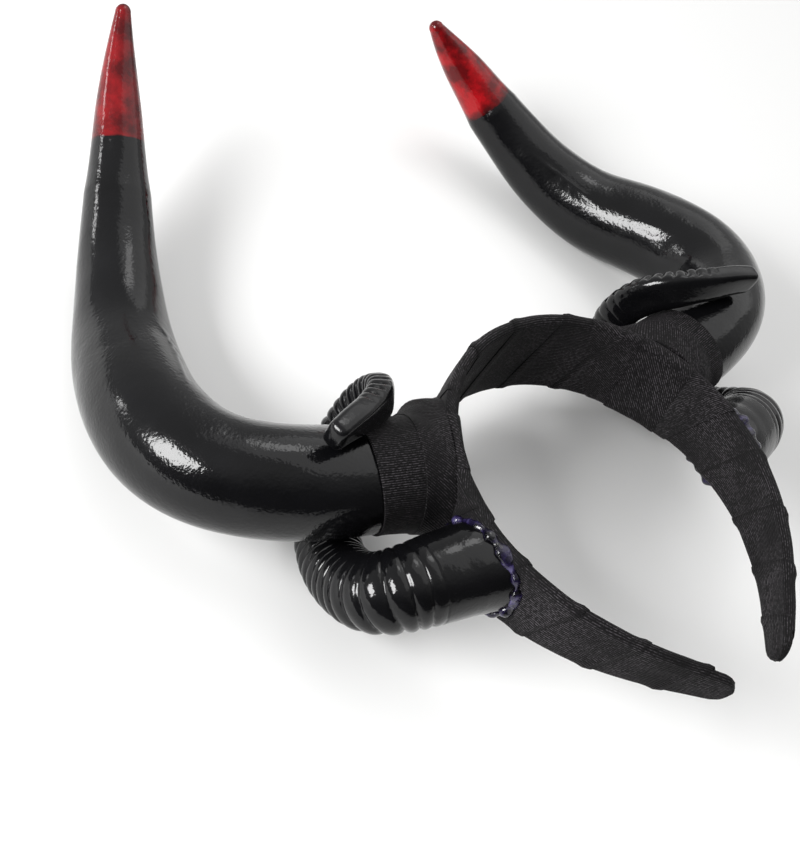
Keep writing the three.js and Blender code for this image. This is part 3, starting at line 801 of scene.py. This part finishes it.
def makeRibbonMaterial():  # ribs across the ribbon and threads along it, with painted sheen: the colour is lighter on the rib crests, in patches and in fine specks
    material, nodes, links, shader = newMaterial("blackRibbon")
    uv = nodes.new("ShaderNodeTexCoord").outputs["UV"]
    split = nodes.new("ShaderNodeSeparateXYZ")
    links.new(uv, split.inputs[0])
    wobble = noiseNode(nodes, links, ribbonFinish["wobbleScale"], 2.0)
    along = mathNode(nodes, links, "MULTIPLY_ADD", wobble, 0.5, split.outputs["X"])
    ribs = waveNode(nodes, links, along, ribbonFinish["ribPitch"])
    threads = waveNode(nodes, links, split.outputs["Y"], ribbonFinish["threadPitch"])
    patches = noiseNode(nodes, links, ribbonFinish["patchScale"], 5.0)
    patches = grayRamp(nodes, links, patches, (0.32, 0.25), (0.68, 1.0))
    # Painted highlight: the colour is lightest on the rib crests, in patches and in fine specks, where light
    # catches the ribs.
    crestHighlight = mathNode(nodes, links, "POWER", ribs, 2.2)
    ribSheen = mathNode(nodes, links, "MULTIPLY", crestHighlight, patches)
    speck = noiseNode(nodes, links, ribbonFinish["speckScale"], 2.0)
    speck = grayRamp(nodes, links, speck, (0.38, 0.1), (0.68, 1.6))
    ribSheen = mathNode(nodes, links, "MULTIPLY", ribSheen, speck)
    # The painted sheen on the ribs fades out towards the ribbon's edge, which leaves a dark line there:
    # painted seam shade along the edge where each turn laps over the one before.
    seamShade = mathNode(nodes, links, "DIVIDE", split.outputs["Y"], ribbonFinish["edge"])
    seamShade.node.use_clamp = True
    ribSheen = mathNode(nodes, links, "MULTIPLY", ribSheen, seamShade)
    color = rampNode(nodes, links, ribSheen, [
        (0.0, ribbonFinish["dark"]), (0.22, ribbonFinish["mid"]), (0.85, ribbonFinish["light"])])
    links.new(color, shader.inputs["Base Color"])
    shader.inputs["Roughness"].default_value = ribbonFinish["roughness"]
    shader.inputs["Specular IOR Level"].default_value = 0.18
    shader.inputs["Sheen Weight"].default_value = ribbonFinish["sheen"]
    shader.inputs["Sheen Roughness"].default_value = 0.5
    shader.inputs["Sheen Tint"].default_value = (0.6, 0.55, 0.6, 1)
    fine = bumpNode(nodes, links, threads, 0.25, 0.00008)
    links.new(bumpNode(nodes, links, ribs, 0.8, 0.00022, fine), shader.inputs["Normal"])
    return material


# Unevenness is in three sizes: the noise's scale, detail and roughness, and the bump's strength and
# height in m.
glossFinish = {
    "color": (0.0018, 0.0018, 0.0021), "roughness": (0.09, 0.2), "patchScale": 50,
    "uneven": [(30, 2.0, 0.55, 0.3, 0.004), (260, 3.0, 0.6, 0.2, 0.0005), (900, 1.0, 0.55, 0.3, 0.00026)],
}


def glossSurface(nodes, links, shader, strength=1.0):  # lacquer with small pits and dull patches
    low, high = glossFinish["roughness"]
    patches = noiseNode(nodes, links, glossFinish["patchScale"], 5.0)
    rough = grayRamp(nodes, links, patches, (0.38, low), (0.7, high))
    links.new(rough, shader.inputs["Roughness"])
    normal = None
    for scale, detail, roughness, bump, height in glossFinish["uneven"]:
        noise = noiseNode(nodes, links, scale, detail, roughness)
        normal = bumpNode(nodes, links, noise, bump * strength, height, normal)
    links.new(normal, shader.inputs["Normal"])
    shader.inputs["Specular IOR Level"].default_value = 0.3


def makeGlossMaterial(name, strength=1.0):
    material, nodes, links, shader = newMaterial(name)
    color = rampNode(nodes, links, noiseNode(nodes, links, 45, 3.0), [
        (0.3, glossFinish["color"]), (0.75, tuple(2.2 * c for c in glossFinish["color"]))])
    links.new(color, shader.inputs["Base Color"])
    glossSurface(nodes, links, shader, strength)
    return material


redFinish = {
    "left": {"bright": (0.17, 0.004, 0.006), "deep": (0.055, 0.002, 0.003), "fade": 0.7, "wavy": 2.0},
    "right": {"bright": (0.30, 0.005, 0.008), "deep": (0.09, 0.003, 0.004), "fade": 4.5, "wavy": 6.0},
}
redUnder = (0.004, 0.001, 0.0012)  # the black showing through


# Red lacquer over black: it comes up over the first mm, is blotchy, and darkens again at the very
# point. The UV's first number is the distance from the black.
def makeRedMaterial(name, finish, length):
    material, nodes, links, shader = newMaterial(name)
    uv = nodes.new("ShaderNodeTexCoord").outputs["UV"]
    split = nodes.new("ShaderNodeSeparateXYZ")
    links.new(uv, split.inputs[0])
    blotch = noiseNode(nodes, links, 120, 4.0, 0.6)
    color = rampNode(nodes, links, blotch, [(0.38, finish["deep"]), (0.6, finish["bright"])])
    waves = noiseNode(nodes, links, 160, 3.0)
    edge = mathNode(nodes, links, "MULTIPLY_ADD", waves, finish["wavy"], split.outputs["X"])
    past = mathNode(nodes, links, "SUBTRACT", edge, finish["wavy"] * 0.5)
    fadeIn = mathNode(nodes, links, "DIVIDE", past, finish["fade"])
    toPoint = mathNode(nodes, links, "SUBTRACT", length + 1.0, split.outputs["X"])
    fadeOut = mathNode(nodes, links, "DIVIDE", toPoint, 2.5)
    amount = mathNode(nodes, links, "MINIMUM", fadeIn, fadeOut)
    amount.node.use_clamp = True
    mix = nodes.new("ShaderNodeMix")
    mix.data_type = "RGBA"
    links.new(amount, mix.inputs["Factor"])
    mix.inputs["A"].default_value = (*redUnder, 1)
    links.new(color, mix.inputs["B"])
    links.new(mix.outputs["Result"], shader.inputs["Base Color"])
    glossSurface(nodes, links, shader)
    return material


def makeGlueMaterial():
    material, nodes, links, shader = newMaterial("setGlue")
    color = rampNode(nodes, links, noiseNode(nodes, links, 260, 3.0), [
        (0.4, (0.002, 0.002, 0.003)), (0.56, (0.012, 0.008, 0.035)), (0.72, (0.06, 0.05, 0.13))])
    links.new(color, shader.inputs["Base Color"])
    shader.inputs["Roughness"].default_value = 0.08
    lumps = noiseNode(nodes, links, 700, 3.0)
    links.new(bumpNode(nodes, links, lumps, 0.5, 0.0006), shader.inputs["Normal"])
    return material


ribbonMaterial = makeRibbonMaterial()
glossMaterial = makeGlossMaterial("blackLacquer")
ramMaterial = makeGlossMaterial("ramLacquer", 0.7)
glueMaterial = makeGlueMaterial()
print("materials made")

# Build the pieces

addPiece("bandEnds", bandCoreSurface(), ribbonMaterial, "ribbon", "band")
addPiece("ribbonWinding", windingSurface(), ribbonMaterial, "ribbon", "band", sharp=50)
print("hair band wound")

curl = makeCurl()
for side in ("left", "right"):
    addPiece(f"horn_{side}_stem", stemSurface(side), glossMaterial, "black_gloss", f"horn_{side}", sharp=60)
    redMaterial = makeRedMaterial(f"redLacquer_{side}", redFinish[side], hornSettings["red"][side])
    addPiece(f"horn_{side}_red", redSurface(side), redMaterial, "red_gloss", f"horn_tip_{side}", sharp=60)
    addPiece(f"ramHorn_{side}", ramSurface(curl, side), ramMaterial, "black_gloss", f"ram_horn_{side}")
    collar = collarSurface(side)
    addPiece(f"collarRibbon_{side}", collar, ribbonMaterial, "ribbon", f"collar_{side}", wrap=True, sharp=55)
    for n, strap in enumerate(strapSettings["laid"]):
        laid = strapSurface(strap, side)
        addPiece(f"ribbonStrap_{side}_{n + 1}", laid, ribbonMaterial, "ribbon", "band", sharp=50)
    addPiece(f"glueBead_{side}", glueSurface(curl, side), glueMaterial, "glue", f"glue_{side}", wrap=True)
    print(side, "side built")

# Floor, light and camera

floorSettings = {"size": 60.0, "color": (0.8, 0.8, 0.795), "roughness": 0.7}
floorMesh = bpy.data.meshes.new("floor")
half = floorSettings["size"] / 2
corners = [(-half, -half, 0), (half, -half, 0), (half, half, 0), (-half, half, 0)]
floorMesh.from_pydata(corners, [], [(0, 1, 2, 3)])
floorMaterial, nodes, links, shader = newMaterial("paleFloor")
shader.inputs["Base Color"].default_value = (*floorSettings["color"], 1)
shader.inputs["Roughness"].default_value = floorSettings["roughness"]
floorMesh.materials.append(floorMaterial)
floor = bpy.data.objects.new("floor", floorMesh)
bpy.context.scene.collection.objects.link(floor)

# Places are in m in the worn frame, so that the lights keep to the camera's side of the headband.
lightSettings = {
    "key": {"place": (-0.85, 0.12, 0.46), "size": (0.46, 0.34), "power": 14.0},
    "top": {"place": (0.35, 0.45, 0.95), "size": (0.3, 0.3), "power": 1.0},
    "overhead": {"place": (0.7, 0.15, 1.1), "size": (1.7, 1.7), "power": 8.0},
    "tip": {"place": (-0.75, 0.9, 0.18), "size": (0.16, 0.12), "power": 1.0},
}
middle = np.array([0.0, -0.01, 0.0])
for name, setting in lightSettings.items():
    data = bpy.data.lights.new(name, "AREA")
    data.shape = "RECTANGLE"
    data.size, data.size_y = setting["size"]
    data.energy = setting["power"]
    light = bpy.data.objects.new(name, data)
    light.location = onFloor(np.array(setting["place"]) * 1000)
    aim = Vector(onFloor(middle * 1000)) - light.location
    light.rotation_euler = aim.to_track_quat("-Z", "Y").to_euler()
    bpy.context.scene.collection.objects.link(light)

# The room: pale above and beyond the crown, and dark on the side of the band's ends.
roomSettings = {"pale": 0.62, "dark": 0.07, "from": -0.55, "to": 0.35}
world = bpy.data.worlds.new("studio")
bpy.context.scene.world = world
world.use_nodes = True
nodes, links = world.node_tree.nodes, world.node_tree.links
facing = nodes.new("ShaderNodeVectorMath")
facing.operation = "DOT_PRODUCT"
links.new(nodes.new("ShaderNodeTexCoord").outputs["Generated"], facing.inputs[0])
facing.inputs[1].default_value = (0.25, 0.85, 0.45)
shade = nodes.new("ShaderNodeMapRange")
shade.interpolation_type = "SMOOTHSTEP"
for name, key in (("From Min", "from"), ("From Max", "to"), ("To Min", "dark"), ("To Max", "pale")):
    shade.inputs[name].default_value = roomSettings[key]
links.new(facing.outputs["Value"], shade.inputs["Value"])
links.new(shade.outputs["Result"], nodes["Background"].inputs["Strength"])
nodes["Background"].inputs["Color"].default_value = (1, 1, 1, 1)

cameraSettings = {
    "place": (-352.8, -175.0, 348.3), "aim": (-33.0, -2.5, -29.2), "rollDegrees": 36.9,
    "lens": 63.27, "sensor": 36.0,
}
cameraData = bpy.data.cameras.new("camera")
cameraData.lens = cameraSettings["lens"]
cameraData.sensor_width = cameraSettings["sensor"]
cameraData.sensor_fit = "AUTO"
place, aim = np.array(cameraSettings["place"]), np.array(cameraSettings["aim"])
forward = unit(aim - place)
upright = unit(np.array([0.0, 1.0, 0.0]) - forward[1] * forward)
rightward = np.cross(forward, upright)
roll = np.radians(cameraSettings["rollDegrees"])
up = np.cos(roll) * upright + np.sin(roll) * rightward
right = np.cross(forward, up)
camera = bpy.data.objects.new("camera", cameraData)
columns = [direction(right), direction(up), direction(-forward), onFloor(place)]
matrix = Matrix([[float(column[n]) for column in columns] for n in range(3)] + [[0, 0, 0, 1]])
camera.matrix_world = matrix
bpy.context.scene.collection.objects.link(camera)
bpy.context.scene.camera = camera
bpy.context.scene.view_settings.view_transform = "Standard"
print("floor, lights and camera placed")
